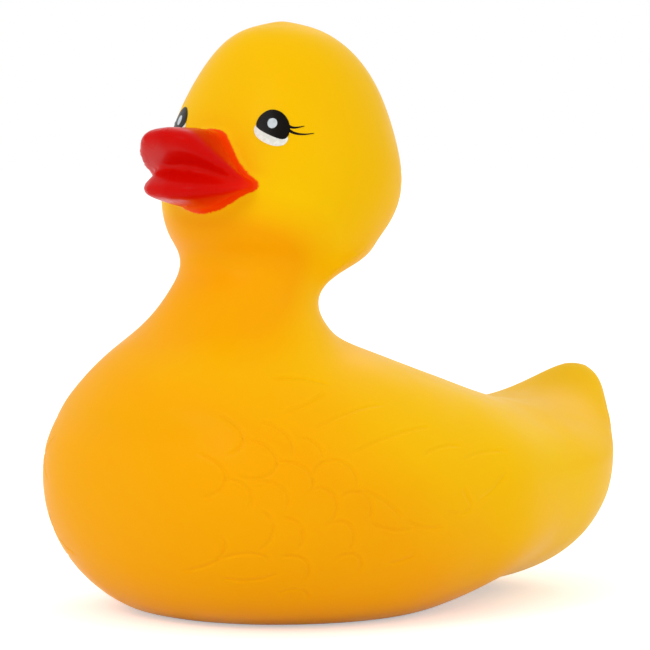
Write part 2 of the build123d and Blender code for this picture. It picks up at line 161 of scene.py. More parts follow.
def curve_through(points, closed, steps=10):
    """A smooth run through points, as Catmull and Rom's spline."""
    count = len(points)
    out = []
    spans = count if closed else count - 1
    for span in range(spans):
        if closed:
            four = [points[(span + k) % count] for k in (-1, 0, 1, 2)]
        else:
            four = [points[min(max(span + k, 0), count - 1)] for k in (-1, 0, 1, 2)]
        for step in range(steps):
            t = step / steps
            weights = (
                (-t * t * t + 2 * t * t - t) / 2,
                (3 * t * t * t - 5 * t * t + 2) / 2,
                (-3 * t * t * t + 4 * t * t + t) / 2,
                (t * t * t - t * t) / 2,
            )
            out.append(tuple(sum(w * p[k] for w, p in zip(weights, four)) for k in range(len(points[0]))))
    if not closed:
        out.append(tuple(points[-1]))
    return out


# ---------------------------------------------------------------- the duck's skin
VOXEL = 1.5 * mm
ON_SURFACE = 0.05 * mm
POCKET_WALL = 0.2 * mm


def outside_of_shell():
    """A closed bmesh of the shell's outside, with the belly's pocket closed over."""
    bm = copy_of("duck_shell")
    level = [v for v in bm.verts if v.co.z < ON_SURFACE]
    radius = min((v.co - well_axis).length for v in level)
    wall = []
    for face in bm.faces:
        middle = face.calc_center_median()
        out = math.hypot(middle.x - well_axis.x, middle.y - well_axis.y)
        if abs(out - radius) < POCKET_WALL and abs(face.normal.z) < 0.1:
            wall.append(face)
    bmesh.ops.delete(bm, geom=wall, context="FACES")
    top = max(bm.verts, key=lambda v: v.co.z)
    found, front = {top}, [top]
    while front:
        vertex = front.pop()
        for edge in vertex.link_edges:
            if not edge.link_faces:
                continue
            other = edge.other_vert(vertex)
            if other not in found:
                found.add(other)
                front.append(other)
    rest = [v for v in bm.verts if v not in found]
    bmesh.ops.delete(bm, geom=rest, context="VERTS")
    rim = [e for e in bm.edges if e.is_boundary]
    filled = bmesh.ops.holes_fill(bm, edges=rim, sides=0)
    bmesh.ops.triangulate(bm, faces=filled["faces"])
    bmesh.ops.recalc_face_normals(bm, faces=bm.faces)
    return bm


# The bill's sections fan out of the face: degrees above level, reach and half width in millimetres.
BILL_LINES = [
    (72, 20, 10),
    (56, 26, 13),
    (45, 33, 16),
    (36, 41, 20),
    (29.5, 49.5, 23.5),
    (25, 52.5, 24.5),
    (20.5, 50.5, 24.5),
    (15, 43, 23),
    (10, 38.5, 22.5),
    (4, 41.5, 23.5),
    (-3, 45.5, 24.5),
    (-8, 44.5, 24.5),
    (-14, 38, 22.5),
    (-22, 31, 19),
    (-34, 24, 14),
    (-46, 19, 10),
]
# The lips from above, from their middle to a corner: how far ahead and aside in millimetres,
# what share is left of the bill's height, and how far the sections have closed on the corner.
LIPS = [
    (47.5, 0, 0.95, 0),
    (45, 12, 0.87, 0),
    (37, 20.5, 0.53, 0.1),
    (27, 25, 0.20, 0.45),
    (18, 26.5, 0.06, 0.85),
    (8, 25, 0.03, 1),
]
LIPS_AHEAD, LIPS_ASIDE = 46.7, 24.5
MOUTH_HEIGHT = 182.3
HINGE_HEIGHT = 184.0
HINGE_AHEAD = 27
HUB_AHEAD, HUB_RISE = 2, 3
HEAD_TURN = 6.0
head_way = math.radians(HEAD_TURN)
head_axis = well_axis + Vector((0, -3 * mm, 0))
ahead_way = Vector((math.sin(head_way), -math.cos(head_way), 0))
aside_way = Vector((math.cos(head_way), math.sin(head_way), 0))


def drawn_bill():
    """Upper and lower lips with the mouth's groove between, drawn together into the mouth's corners."""
    hinge = head_axis + ahead_way * HINGE_AHEAD * mm

    def put(ahead, aside, height):
        return hinge + ahead_way * ahead * mm + aside_way * aside * mm + Vector((0, 0, height * mm))

    half = curve_through(LIPS, False, 8)
    mirrored = [(ahead, -aside, share, closing) for ahead, aside, share, closing in half[:0:-1]]
    lips = mirrored + half
    bm = bmesh.new()
    rows = []
    for lift, reach, wide in curve_through(BILL_LINES, False, 5):
        lift = math.radians(lift)
        rise = HINGE_HEIGHT + reach * math.sin(lift) - MOUTH_HEIGHT
        row = []
        for ahead, aside, share, closing in lips:
            long = reach * math.cos(lift) / LIPS_AHEAD
            long += (1 - long) * closing
            broad = wide / LIPS_ASIDE
            broad += (1 - broad) * closing
            row.append(bm.verts.new(put(ahead * long, aside * broad, MOUTH_HEIGHT + rise * share)))
        rows.append(row)
    for one, two in zip(rows, rows[1:]):
        for k in range(len(lips) - 1):
            bm.faces.new((one[k], one[k + 1], two[k + 1], two[k]))
    hub = bm.verts.new(put(HUB_AHEAD, 0, MOUTH_HEIGHT + HUB_RISE))
    rim = [e for e in bm.edges if e.is_boundary]
    for edge in rim:
        bm.faces.new((*edge.verts, hub))
    bmesh.ops.recalc_face_normals(bm, faces=bm.faces)
    return bm


outside = outside_of_shell()
head_tree = BVHTree.FromBMesh(outside)
beak = drawn_bill()
beak_tree = BVHTree.FromBMesh(beak)
outside_copy = bpy.data.meshes.new("outside_copy")
outside.to_mesh(outside_copy)
beak_mesh = mesh_from(beak, "beak")
outside.from_mesh(beak_mesh)
bpy.data.meshes.remove(beak_mesh)
rough = new_object("rough", mesh_from(outside, "rough"))
remesh = rough.modifiers.new("even", "REMESH")
remesh.mode = "VOXEL"
remesh.voxel_size = VOXEL
skin_mesh = evaluated(rough, "duck_skin")


def keep_largest(mesh):
    """Only the largest connected part of a mesh stays."""
    count = len(mesh.vertices)
    label = np.arange(count)
    pairs = edges_of(mesh)
    while True:
        low = np.minimum(label[pairs[:, 0]], label[pairs[:, 1]])
        new = label.copy()
        np.minimum.at(new, pairs[:, 0], low)
        np.minimum.at(new, pairs[:, 1], low)
        new = new[new]
        if (new == label).all():
            break
        label = new
    main = np.bincount(label).argmax()
    bm = bmesh.new()
    bm.from_mesh(mesh)
    bm.verts.ensure_lookup_table()
    stray = [bm.verts[int(i)] for i in np.nonzero(label != main)[0]]
    bmesh.ops.delete(bm, geom=stray, context="VERTS")
    bm.to_mesh(mesh)
    bm.free()


def smooth_junctions(mesh):
    """Evens the remeshed skin, and rounds the breast, the neck, the bill's root and the belly's edge."""
    co, pairs = points_of(mesh), edges_of(mesh)
    co = relaxed(co, pairs, np.ones(len(co)), 8, shrink_free=True)
    z, y = co[:, 2] / mm, (co[:, 1] - well_axis.y) / mm
    breast = smooth_step(70, 80, z) * (1 - smooth_step(106, 124, z))
    neck = smooth_step(106, 118, z) * (1 - smooth_step(148, 160, z)) * 0.6
    edge = 1 - smooth_step(1, 7, z)
    weight = np.maximum(np.maximum(breast, neck), edge * 0.8)
    co = relaxed(co, pairs, weight, 60)
    nape = smooth_step(96, 106, z) * (1 - smooth_step(124, 136, z)) * smooth_step(-5, 15, y)
    co = relaxed(co, pairs, nape, 140)
    near = np.array([beak_tree.find_nearest(Vector(p))[3] for p in co[z > 130]])
    root = np.zeros(len(co))
    away = np.array([head_tree.find_nearest(Vector(p))[3] for p in co[z > 130]])
    root[z > 130] = (1 - smooth_step(1.0 * mm, 4 * mm, near)) * (1 - smooth_step(1.5 * mm, 4 * mm, away))
    co = relaxed(co, pairs, root, 6)
    co = relaxed(co, pairs, np.ones(len(co)), 4, shrink_free=True)
    co[:, 2] = np.maximum(co[:, 2], 0)
    set_points(mesh, co)


keep_largest(skin_mesh)
smooth_junctions(skin_mesh)


# ---------------------------------------------------------------- engraved feathers
# Arcs of feather tips on the left flank, seen from the side: along the duck from the well's axis
# towards the tail, height, half length, half height, and the angles that each arc runs between.
TIPS = [
    (-87, 84, 9, 9, -75, 60),
    (-95, 67, 9, 10, -75, 62),
    (-79, 74, 8, 8, -130, 95),
    (-71, 80, 7, 8, -55, 100),
    (-69, 64, 9, 9, -35, 110),
    (-60, 76, 6, 6, -25, 95),
    (-51, 64, 9, 9, -25, 175),
    (-58, 54, 7, 8, -85, 145),
    (-44, 52, 8, 8, -40, 140),
    (-50, 40, 7, 8, -45, 125),
    (-44, 27, 7, 7, -25, 145),
    (-87, 58, 7, 8, -40, 85),
    (-77, 57, 8, 8, -35, 115),
    (-81, 44, 8, 10, -55, 70),
    (-71, 41, 8, 9, -40, 95),
    (-92, 35, 8, 10, -65, 60),
    (-78, 27, 8, 8, 20, 150),
    (-66, 25, 9, 9, -20, 115),
    (-76, 32, 11, 9, -120, -30),
    (-58, 12, 7, 7, 15, 135),
]
# Long flight feathers: start, end and how far each bows upwards, in the same places.
QUILLS = [
    (-57, 105, -34, 101, 1.5),
    (-63, 92, -38, 100, -1.0),
    (-57, 84, -12, 93, 2.5),
    (-45, 74, 6, 83, 2.5),
    (-9, 71, 18, 74, 2.5),
    (14, 69, 45, 70, 1.5),
    (22, 52, 41, 63, -2.0),
    (3, 50, 19, 49, -2.5),
    (19, 49, 13, 58, -1.0),
    (-42, 61, -20, 47, 2.0),
    (-20, 47, 4, 43, -2.5),
    (-37, 47, -14, 43, -2.0),
    (-25, 29, -11, 32, -1.0),
]
GROOVE_HALF = 0.75 * mm
GROOVE_DEEP = 0.42 * mm
GROOVE_STEP = 0.4 * mm


def side_lines():
    """The feathers' lines as lists of side-view points, in millimetres."""
    lines = []
    for along, height, half_long, half_tall, first, last in TIPS:
        steps = range(25)
        turns = [math.radians(first + (last - first) * step / 24) for step in steps]
        lines.append([(along + half_long * math.cos(t), height + half_tall * math.sin(t)) for t in turns])
    for start_y, start_z, end_y, end_z, bow in QUILLS:
        line = []
        for step in range(25):
            s = step / 24
            rise = 4 * bow * s * (1 - s)
            line.append((start_y + (end_y - start_y) * s, start_z + (end_z - start_z) * s + rise))
        lines.append(line)
    return lines


def groove_points(tree):
    """Evenly spaced points of every groove on both flanks, with how deep the groove is at each."""
    places, depths = [], []
    for line in side_lines():
        for side in (1, -1):
            on_skin = []
            for along, height in line:
                start = Vector((side * 0.2, well_axis.y + along * mm, height * mm))
                hit = tree.ray_cast(start, Vector((-side, 0, 0)))[0]
                if hit is not None:
                    on_skin.append(hit)
            total = sum((b - a).length for a, b in zip(on_skin, on_skin[1:]))
            gone = 0
            for a, b in zip(on_skin, on_skin[1:]):
                length = (b - a).length
                for step in range(max(int(length / GROOVE_STEP), 1)):
                    share = step / max(int(length / GROOVE_STEP), 1)
                    at = (gone + length * share) / total
                    places.append(a.lerp(b, share))
                    depths.append(smooth_step(0, 0.18, at) * smooth_step(0, 0.18, 1 - at))
                gone += length
    return places, depths


def refine(mesh, chosen, rounds):
    """Halves the edges whose ends are both chosen. chosen takes the points and gives a mask."""
    for _ in range(rounds):
        bm = bmesh.new()
        bm.from_mesh(mesh)
        mask = chosen(points_of(mesh))
        bm.verts.ensure_lookup_table()
        edges = [e for e in bm.edges if mask[e.verts[0].index] and mask[e.verts[1].index]]
        bmesh.ops.subdivide_edges(bm, edges=edges, cuts=1, use_grid_fill=True)
        bm.to_mesh(mesh)
        bm.free()
        mask = chosen(points_of(mesh))
        co = relaxed(points_of(mesh), edges_of(mesh), mask, 4, shrink_free=True)
        set_points(mesh, co)


def engrave(mesh):
    bm = bmesh.new()
    bm.from_mesh(mesh)
    tree = BVHTree.FromBMesh(bm)
    bm.free()
    places, depths = groove_points(tree)
    lookup = KDTree(len(places))
    for number, place in enumerate(places):
        lookup.insert(place, number)
    lookup.balance()

    def near(co, reach):
        low_y, high_y = well_axis.y - 105 * mm, well_axis.y + 50 * mm
        rough_mask = (co[:, 1] > low_y) & (co[:, 1] < high_y) & (co[:, 2] < 110 * mm)
        rough_mask &= np.abs(co[:, 0]) > 30 * mm
        mask = np.zeros(len(co), bool)
        for index in np.nonzero(rough_mask)[0]:
            mask[index] = lookup.find(co[index])[2] < reach
        return mask

    refine(mesh, lambda co: near(co, 3.2 * mm), 1)
    refine(mesh, lambda co: near(co, 2.0 * mm), 1)
    co, normals = points_of(mesh), normals_of(mesh)
    for index in np.nonzero(near(co, 2.6 * mm))[0]:
        _, number, distance = lookup.find(co[index])
        depth = GROOVE_DEEP * depths[number] * math.exp(-((distance / GROOVE_HALF) ** 2))
        co[index] -= normals[index] * depth
    set_points(mesh, co)


engrave(skin_mesh)


# ---------------------------------------------------------------- hollow inside
BELOW_BELLY = -2 * mm


def hollow_cutter():
    """The shell's cavity and belly pocket as one closed solid that reaches below the belly."""
    bm = copy_of("duck_shell")
    skin = bmesh.new()
    skin.from_mesh(bpy.data.meshes["outside_copy"])
    tree = BVHTree.FromBMesh(skin)
    skin.free()
    outer_faces = []
    for face in bm.faces:
        if tree.find_nearest(face.calc_center_median())[3] < ON_SURFACE:
            outer_faces.append(face)
    bmesh.ops.delete(bm, geom=outer_faces, context="FACES")
    rim = [e for e in bm.edges if e.is_boundary]
    made = bmesh.ops.extrude_edge_only(bm, edges=rim)
    low = [v for v in made["geom"] if isinstance(v, bmesh.types.BMVert)]
    for vertex in low:
        vertex.co.z = BELOW_BELLY
    lid = [e for e in bm.edges if e.is_boundary]
    bmesh.ops.holes_fill(bm, edges=lid, sides=0)
    bmesh.ops.triangulate(bm, faces=bm.faces)
    bmesh.ops.recalc_face_normals(bm, faces=bm.faces)
    return mesh_from(bm, "hollow")


def hollowed(mesh):
    body = new_object("solid_duck", mesh)
    hollow = new_object("hollow", hollow_cutter())
    cut = body.modifiers.new("hollow", "BOOLEAN")
    cut.operation = "DIFFERENCE"
    cut.solver = "MANIFOLD"
    cut.object = hollow
    made = evaluated(body, "duck_skin")
    bpy.data.objects.remove(hollow)
    return made


# ---------------------------------------------------------------- where the bill's paint lies
# The paint's outline on the face: aside from the middle, and up from the mouth, in millimetres.
FACE_PAINT = [(0, 19.4), (11, 14.6), (20, 7.6), (25.6, 1.4), (21.8, -3.4), (12, -10.0), (0, -12.8)]


PAINT_REACH = 6 * mm
UNPAINTED = -20.0
BILL_NEAR = 1.5
UNDER_SKIN = 1.2 * mm
PAINT_LINE = 0.6


def face_outline():
    """The paint's outline on both sides, closed, as points of a smooth curve."""
    mirrored = [(-aside, height) for aside, height in FACE_PAINT[-2:0:-1]]
    return np.array(curve_through(FACE_PAINT + mirrored, True, 6))


def inside_outline(outline, aside, height):
    """How far a place lies inside a closed outline. It is negative outside."""
    one, two = outline, np.roll(outline, -1, axis=0)
    along = two - one
    away = np.array((aside, height)) - one
    share = np.clip((away * along).sum(1) / (along**2).sum(1), 0, 1)
    gap = np.hypot(*(away - along * share[:, None]).T).min()
    crosses = (one[:, 1] > height) != (two[:, 1] > height)
    rise = np.where(along[:, 1] == 0, 1, along[:, 1])
    cut = one[:, 0] + (height - one[:, 1]) / rise * along[:, 0]
    inside = (crosses & (aside < cut)).sum() % 2 == 1
    return gap if inside else -gap


def paint_edge(mesh):
    """How far each point lies within the bill's paint, in millimetres."""
    outline = face_outline()
    co = points_of(mesh)
    around_bill = (co[:, 2] > bill_low.z - PAINT_REACH) & (co[:, 2] < bill_high.z + PAINT_REACH)
    around_bill &= co[:, 1] < bill_high.y + PAINT_REACH
    out = np.full((len(co), 1), UNPAINTED)
    for index in np.nonzero(around_bill)[0]:
        point = Vector(co[index])
        place, normal, _, distance = head_tree.find_nearest(point)
        sign = 1 if (point - place).dot(normal) > 0 else -1
        gap = beak_tree.find_nearest(point)[3] / mm
        proud = sign * distance / mm - max(gap - BILL_NEAR, 0)
        aside = (point - head_axis).dot(aside_way) / mm
        on_face = inside_outline(outline, aside, point.z / mm - MOUTH_HEIGHT)
        out[index] = max(proud, on_face) if sign * distance > -UNDER_SKIN else proud
    pairs = edges_of(mesh)
    for _ in range(6):
        smoothed = mean_of_neighbours(out, pairs, len(out))
        out[around_bill] = 0.5 * out[around_bill] + 0.5 * smoothed[around_bill]
    return out[:, 0]


skin_mesh = hollowed(skin_mesh)
bpy.data.meshes.remove(outside_copy)
edge = paint_edge(skin_mesh)


# ---------------------------------------------------------------- the tail
TAIL_LIFT = 2.0 * mm
TAIL_OUT = 4.6 * mm
TAIL_DRAW = 3.4 * mm


def lifted_tail(mesh):
    """Moves the tail's tip up and back and draws its rear in below; the CAD's box cuts the tip flat."""
    co = points_of(mesh)
    y, z = co[:, 1] / mm, co[:, 2] / mm
    tip = smooth_step(80, 122, y) * smooth_step(60, 88, z)
    rear = smooth_step(98, 136, y) * (1 - smooth_step(56, 78, z)) * smooth_step(12, 38, z)
    co[:, 2] += TAIL_LIFT * tip
    co[:, 1] += TAIL_OUT * tip - TAIL_DRAW * rear
    set_points(mesh, np.clip(co, np.array(cad_box[0]), np.array(cad_box[1])))


lifted_tail(skin_mesh)


# ---------------------------------------------------------------- vinyl and bill as two pieces
CREASE = math.radians(50)


def corner_normals(mesh):
    out = np.empty(len(mesh.loops) * 3, np.float32)
    mesh.corner_normals.foreach_get("vector", out)
    return out.reshape(-1, 3)


def face_starts(mesh):
    starts = np.empty(len(mesh.polygons), np.int64)
    mesh.polygons.foreach_get("loop_start", starts)
    return starts


def part_of(mesh, name, wanted, values):
    """The wanted faces as an object that keeps the whole mesh's normals and one value a point."""
    starts = face_starts(mesh)
    totals = np.empty(len(mesh.polygons), np.int64)
    mesh.polygons.foreach_get("loop_total", totals)
    normals = corner_normals(mesh)
    kept = [normals[s : s + t] for s, t, w in zip(starts, totals, wanted) if w]
    bm = bmesh.new()
    bm.from_mesh(mesh)
    layer = bm.verts.layers.float.new("paint_edge")
    for vertex, value in zip(bm.verts, values):
        vertex[layer] = value
    bmesh.ops.delete(bm, geom=[f for f, w in zip(bm.faces, wanted) if not w], context="FACES")
    part = mesh_from(bm, name)
    smooth_shaded(part)
    part.normals_split_custom_set(np.concatenate(kept).tolist())
    return new_object(name, part)


def split_skin(mesh, values):
    smooth_shaded(mesh)
    mesh.set_sharp_from_angle(angle=CREASE)
    corners = np.empty(len(mesh.loops), np.int64)
    mesh.loops.foreach_get("vertex_index", corners)
    face_values = np.minimum.reduceat(values[corners], face_starts(mesh))
    painted = face_values > PAINT_LINE
    return part_of(mesh, "duck_skin", ~painted, values), part_of(mesh, "duck_bill", painted, values)


skin, bill = split_skin(skin_mesh, edge)
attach(skin, "duck")
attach(bill, "duck")
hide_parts("duck_shell")
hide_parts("bill")


# ---------------------------------------------------------------- materials
def colour(red, green, blue):
    """A screen colour, 0 to 255 a channel, as the linear colour that shows it."""
    out = []
    for value in (red, green, blue):
        share = value / 255
        out.append(share / 12.92 if share <= 0.04045 else ((share + 0.055) / 1.055) ** 2.4)
    return (*out, 1)


class Paint:
    """One material's node tree, with short calls for its nodes."""

    def __init__(self, name, **sockets):
        self.material = bpy.data.materials.new(name)
        self.material.use_nodes = True
        self.tree = self.material.node_tree
        self.shader = self.tree.nodes["Principled BSDF"]
        for socket, value in sockets.items():
            self.shader.inputs[socket.replace("_", " ")].default_value = value

    def add(self, kind, inputs, **settings):
        made = self.tree.nodes.new("ShaderNode" + kind)
        for name, value in settings.items():
            setattr(made, name, value)
        for name, value in inputs.items():
            if isinstance(value, bpy.types.NodeSocket):
                self.tree.links.new(value, made.inputs[name])
            else:
                made.inputs[name].default_value = value
        return made

    def place(self):
        return self.add("TexCoord", {}).outputs["Object"]

    def noise(self, scale, detail=4.0, roughness=0.5):
        inputs = {"Vector": self.place(), "Scale": scale, "Detail": detail, "Roughness": roughness}
        return self.add("TexNoise", inputs).outputs["Fac"]

    def ranged(self, value, low, high, new_low=0.0, new_high=1.0):
        inputs = {"Value": value, "From Min": low, "From Max": high, "To Min": new_low, "To Max": new_high}
        made = self.add("MapRange", inputs, interpolation_type="SMOOTHSTEP")
        return made.outputs["Result"]

    def maths(self, operation, first, second=0.0):
        return self.add("Math", {0: first, 1: second}, operation=operation).outputs[0]

    def mixed(self, share, first, second):
        made = self.add("Mix", {}, data_type="RGBA")
        for index, value in ((0, share), (6, first), (7, second)):
            if isinstance(value, bpy.types.NodeSocket):
                self.tree.links.new(value, made.inputs[index])
            else:
                made.inputs[index].default_value = value
        return made.outputs[2]

    def ramp(self, value, stops):
        made = self.add("ValToRGB", {"Fac": value})
        ramp = made.color_ramp
        while len(ramp.elements) < len(stops):
            ramp.elements.new(1.0)
        for element, (at, shade) in zip(ramp.elements, stops):
            element.position = at
            element.color = shade
        return made.outputs["Color"]

    def bump(self, height, strength, distance, normal=None):
        inputs = {"Height": height, "Strength": strength, "Distance": distance}
        if normal is not None:
            inputs["Normal"] = normal
        return self.add("Bump", inputs).outputs["Normal"]

    def into(self, socket, value):
        self.tree.links.new(value, self.shader.inputs[socket])


def tone_and_painted_shade(paint):
    """0 low on the breast to 1 at the crown and tail, orange to lemon: partly the vinyl's own tone, partly
    painted shade low down and painted light on top.
    """
    split = paint.add("SeparateXYZ", {"Vector": paint.place()})
    up = paint.maths("MULTIPLY", split.outputs["Z"], 3.6)
    back = paint.maths("MULTIPLY", split.outputs["Y"], 3.0)
    drift = paint.ranged(paint.noise(9.0, 2.0), 0.3, 0.7, -0.04, 0.04)
    # The throat under the bill is pulled towards orange. This band is painted shade where the bill
    # overhangs.
    above = paint.ranged(split.outputs["Z"], 0.105, 0.152)
    below = paint.ranged(split.outputs["Z"], 0.148, 0.19, 1.0, 0.0)
    front = paint.ranged(split.outputs["Y"], -0.085, -0.035, 1.0, 0.0)
    throat_painted_shade = paint.maths("MULTIPLY", paint.maths("MULTIPLY", above, below), front)
    level = paint.maths("ADD", paint.maths("ADD", up, back), drift)
    return paint.maths("ADD", level, paint.maths("MULTIPLY", throat_painted_shade, -0.5))


def vinyl_colour_with_painted_shade(paint):
    # The orange stops are painted shade low down and the lemon stops are painted light on top, over the
    # vinyl's own yellow.
    return paint.ramp(
        tone_and_painted_shade(paint),
        [
            (0.0, colour(252, 172, 0)),
            (0.16, colour(253, 190, 0)),
            (0.34, colour(253, 198, 0)),
            (0.62, colour(250, 191, 0)),
            (0.85, colour(249, 193, 0)),
        ],
    )


def bill_colour(paint, edge_value):
    """Sprayed paint: thin and orange near the face, dense red towards the lips."""
    cloud = paint.ranged(paint.noise(120.0, 3.0), 0.3, 0.7, -0.6, 0.6)
    return paint.ramp(
        paint.ranged(paint.maths("ADD", edge_value, cloud), 0.0, 22.0),
        [
            (0.0, colour(247, 64, 0)),
            (0.10, colour(242, 40, 0)),
            (0.38, colour(228, 18, 0)),
            (1.0, colour(208, 6, 0)),
        ],
    )


def sprayed_vinyl(name, painted):
    paint = Paint(name, Coat_Weight=0.035 if painted else 0.0, Coat_Roughness=0.07)
    paint.shader.inputs["Specular IOR Level"].default_value = 0.04
    paint.shader.inputs["Subsurface Weight"].default_value = 0.06 if painted else 0.16
    paint.shader.inputs["Subsurface Radius"].default_value = (1.0, 0.42, 0.08)
    paint.shader.inputs["Subsurface Scale"].default_value = 0.004
    edge_value = paint.add("Attribute", {}, attribute_name="paint_edge").outputs["Fac"]
    speckle = paint.ranged(paint.noise(700.0, 3.0, roughness=0.6), 0.3, 0.7, -0.22, 0.22)
    sprayed = paint.maths("ADD", edge_value, speckle)
    cover = paint.ranged(sprayed, PAINT_LINE - 0.35, PAINT_LINE + 0.45)
    paint.into("Base Color", paint.mixed(cover, vinyl_colour_with_painted_shade(paint), bill_colour(paint, edge_value)))
    grain = paint.noise(1400.0, 3.0)
    waves = paint.noise(60.0, 2.0)
    fine = paint.bump(grain, 0.10, 0.0002)
    paint.into("Normal", paint.bump(waves, 0.12, 0.0012, fine))
    low, high = (0.22, 0.32) if painted else (0.33, 0.45)
    paint.into("Roughness", paint.ranged(paint.noise(35.0, 3.0), 0.3, 0.7, low, high))
    return paint.material


skin.data.materials.append(sprayed_vinyl("vinyl", False))
bill.data.materials.append(sprayed_vinyl("bill_paint", True))


# ---------------------------------------------------------------- the eyes' prints
EYE_TURN = 31.0
EYE_RISE = 2.0
# Outlines square on to the eye, in millimetres towards the back and up from its middle.
PUPIL = [
    (-6.8, 0.8),
    (-5.2, 4.4),
    (-1.2, 6.8),
    (3.2, 6.0),
    (6.4, 2.9),
    (7.6, -1.0),
    (6.8, -4.2),
    (4.4, -5.2),
    (-0.6, -3.6),
    (-5.4, -1.2),
]
WHITE = [
    (-6.9, 0.4),
    (-7.6, -1.8),
    (-6.2, -4.4),
    (-2.8, -6.6),
    (1.2, -7.9),
    (4.9, -7.7),
    (6.8, -6.0),
    (6.6, -3.8),
    (2.0, 0.5),
    (-4.6, 0.9),
]
GLINT = [
    (-1.9, 1.3),
    (-1.3, 2.8),
    (0.2, 3.3),
    (1.7, 2.7),
    (2.2, 1.2),
    (1.6, -0.2),
    (0.1, -0.8),
    (-1.3, -0.2),
]
LASH_PATHS = [
    [(6.4, 0.6), (8.2, -0.3), (10.4, -0.4), (13.4, 0.2)],
    [(6.6, -1.0), (8.6, -2.3), (11.0, -3.0), (13.8, -3.2), (17.4, -2.8)],
]
LASH_ROOT = 1.5
LASH_TIP = 0.09
LASH_LIFT = 0.22
LASH_ACROSS = (-1, -0.6, 0, 0.6, 1)
LASH_SINK = 0.2
WHITE_LIFT, PUPIL_LIFT, GLINT_LIFT = 0.14, 0.26, 0.36
PRINT_SINK = 0.25
PRINT_CREASE = math.radians(40)


def skin_tree():
    bm = bmesh.new()
    bm.from_mesh(skin.data)
    bm.from_mesh(bill.data)
    tree = BVHTree.FromBMesh(bm)
    bm.free()
    return tree


class EyeSide:
    """Square-on places round one eye, in millimetres towards the back and up, put on the skin."""

    def __init__(self, side, tree):
        low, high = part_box(f"eye_white_{side}")
        low_two, high_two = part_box(f"eye_pupil_{side}")
        low = Vector(map(min, low, low_two))
        high = Vector(map(max, high, high_two))
        self.middle = (low + high) / 2 + Vector((0, 0, EYE_RISE * mm))
        out = 1 if side == "left" else -1
        turn = math.radians(EYE_TURN * out + HEAD_TURN)
        self.normal = Vector((math.sin(turn), -math.cos(turn), 0))
        self.back = Vector((math.cos(turn), math.sin(turn), 0)) * out
        self.tree = tree

    def on_skin(self, u, v, lift):
        start = self.middle + self.back * u * mm + Vector((0, 0, v * mm)) + self.normal * 20 * mm
        place, normal, _, _ = self.tree.ray_cast(start, -self.normal)
        return place + normal * lift * mm


def print_patch(name, eye, outline, lift, rings=12):
    """A thin printed shape: rings from its middle to its outline, and a rim down to the skin."""
    edge_points = curve_through(outline, True)
    middle = [sum(p[axis] for p in edge_points) / len(edge_points) for axis in (0, 1)]
    bm = bmesh.new()
    hub = bm.verts.new(eye.on_skin(*middle, lift))
    rows = []
    for ring in range(1, rings + 2):
        share = min(ring / rings, 1)
        height = lift if ring <= rings else -PRINT_SINK
        row = []
        for u, v in edge_points:
            at_u = middle[0] + (u - middle[0]) * share
            at_v = middle[1] + (v - middle[1]) * share
            row.append(bm.verts.new(eye.on_skin(at_u, at_v, height)))
        rows.append(row)
    count = len(edge_points)
    for k in range(count):
        bm.faces.new((hub, rows[0][k], rows[0][(k + 1) % count]))
    for inner, outer in zip(rows, rows[1:]):
        for k in range(count):
            following = (k + 1) % count
            bm.faces.new((inner[k], outer[k], outer[following], inner[following]))
    bmesh.ops.recalc_face_normals(bm, faces=bm.faces)
    mesh = smooth_shaded(mesh_from(bm, name))
    mesh.set_sharp_from_angle(angle=PRINT_CREASE)
    return new_object(name, mesh)


def add_lash(bm, eye, path):
    """A tapering printed stroke along a path, domed across."""
    line = curve_through(path, False, 8)
    rows = []
    for index, (u, v) in enumerate(line):
        before = line[max(index - 1, 0)]
        after = line[min(index + 1, len(line) - 1)]
        along = Vector((after[0] - before[0], after[1] - before[1])).normalized()
        across = Vector((-along.y, along.x))
        share = index / (len(line) - 1)
        half = LASH_ROOT / 2 * (1 - share) ** 0.6 + LASH_TIP
        row = []
        for step in LASH_ACROSS:
            height = LASH_LIFT * (1 - step * step) - (LASH_SINK if abs(step) == 1 else 0)
            place = eye.on_skin(u + across.x * half * step, v + across.y * half * step, height)
            row.append(bm.verts.new(place))
        rows.append(row)
    for one, two in zip(rows, rows[1:]):
        for k in range(len(LASH_ACROSS) - 1):
            bm.faces.new((one[k], two[k], two[k + 1], one[k + 1]))


def flat_print(name, shade, rough):
    paint = Paint(name, Coat_Weight=0.02, Coat_Roughness=0.1)
    paint.shader.inputs["Specular IOR Level"].default_value = 0.06
    thin = tuple(0.86 * channel for channel in shade[:3]) + (1,)
    paint.into("Base Color", paint.mixed(paint.ranged(paint.noise(500.0), 0.35, 0.65), shade, thin))
    paint.into("Roughness", paint.ranged(paint.noise(260.0, 2.0), 0.3, 0.7, rough, rough + 0.1))
    paint.into("Normal", paint.bump(paint.noise(1100.0, 2.0), 0.12, 0.0002))
    return paint.material


prints = {
    "eye_white": (WHITE, WHITE_LIFT, "white_paint", flat_print("white_print", colour(240, 240, 230), 0.3)),
    "eye_pupil": (PUPIL, PUPIL_LIFT, "black_paint", flat_print("black_print", colour(16, 10, 6), 0.22)),
    "eye_glint": (GLINT, GLINT_LIFT, "glint_paint", flat_print("glint_print", colour(206, 216, 220), 0.3)),
}
tree = skin_tree()
for side in ("left", "right"):
    eye = EyeSide(side, tree)
    for stem, (outline, lift, slot, material) in prints.items():
        patch = print_patch(f"{stem}_{side}_print", eye, outline, lift)
        patch.data.materials.append(material)
        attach(patch, "duck")
        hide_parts(f"{stem}_{side}")
    bm = bmesh.new()
    for path in LASH_PATHS:
        add_lash(bm, eye, path)
    bmesh.ops.recalc_face_normals(bm, faces=bm.faces)
    lashes = new_object(f"eyelashes_{side}_print", smooth_shaded(mesh_from(bm, f"eyelashes_{side}_print")))
    lashes.data.materials.append(prints["eye_pupil"][3])
    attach(lashes, "duck")
    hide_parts(f"eyelashes_{side}")


